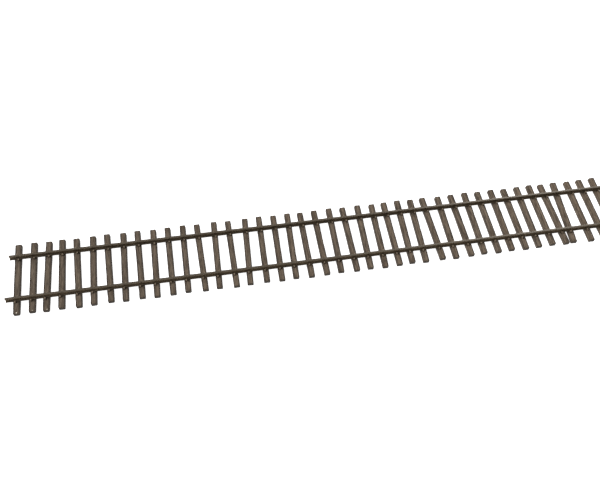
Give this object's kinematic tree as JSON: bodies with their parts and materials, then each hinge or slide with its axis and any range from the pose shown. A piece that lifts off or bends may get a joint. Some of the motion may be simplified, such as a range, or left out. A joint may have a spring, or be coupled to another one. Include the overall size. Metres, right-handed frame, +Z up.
{
  "type": "model track section",
  "caption": "Cut length of flexible model railway track: flat-bottomed rails that slide in the moulded spikes of a strip of brown ties.",
  "frame": {"origin": "middle of the track on the plane of the tie undersides, which is the bottom centre of the bounding box", "axes": "+X along the rails towards the right-hand end, +Y across the track from the near rail to the far rail, +Z up"},
  "size_m": [0.2506, 0.0294, 0.0033],
  "materials": {
    "ties": "matte",
    "rails": "matte"
  },
  "bodies": {
    "tie_strip": {"tie_01": "ties", "tie_02": "ties", "tie_03": "ties", "tie_04": "ties", "tie_05": "ties", "tie_06": "ties", "tie_07": "ties", "tie_08": "ties", "tie_09": "ties", "tie_10": "ties", "tie_11": "ties", "tie_12": "ties", "tie_13": "ties", "tie_14": "ties", "tie_15": "ties", "tie_16": "ties", "tie_17": "ties", "tie_18": "ties", "tie_19": "ties", "tie_20": "ties", "tie_21": "ties", "tie_22": "ties", "tie_23": "ties", "tie_24": "ties", "tie_25": "ties", "tie_26": "ties", "tie_27": "ties", "tie_28": "ties", "tie_29": "ties", "tie_30": "ties", "tie_31": "ties", "tie_32": "ties", "tie_33": "ties", "tie_34": "ties", "tie_35": "ties", "tie_36": "ties", "tie_37": "ties", "tie_38": "ties", "tie_39": "ties", "tie_40": "ties", "tie_41": "ties", "tie_42": "ties", "tie_43": "ties", "tie_44": "ties"},
    "near_rail": {"rail_near": "rails"},
    "far_rail": {"rail_far": "rails"}
  },
  "joints": [
    {"name": "near_rail_slide", "type": "slide", "parent": "tie_strip", "child": "near_rail", "axis": [1, 0, 0], "range_m": [-0.0047, 0.0047]},
    {"name": "far_rail_slide", "type": "slide", "parent": "tie_strip", "child": "far_rail", "axis": [1, 0, 0], "range_m": [-0.0047, 0.0047]}
  ]
}
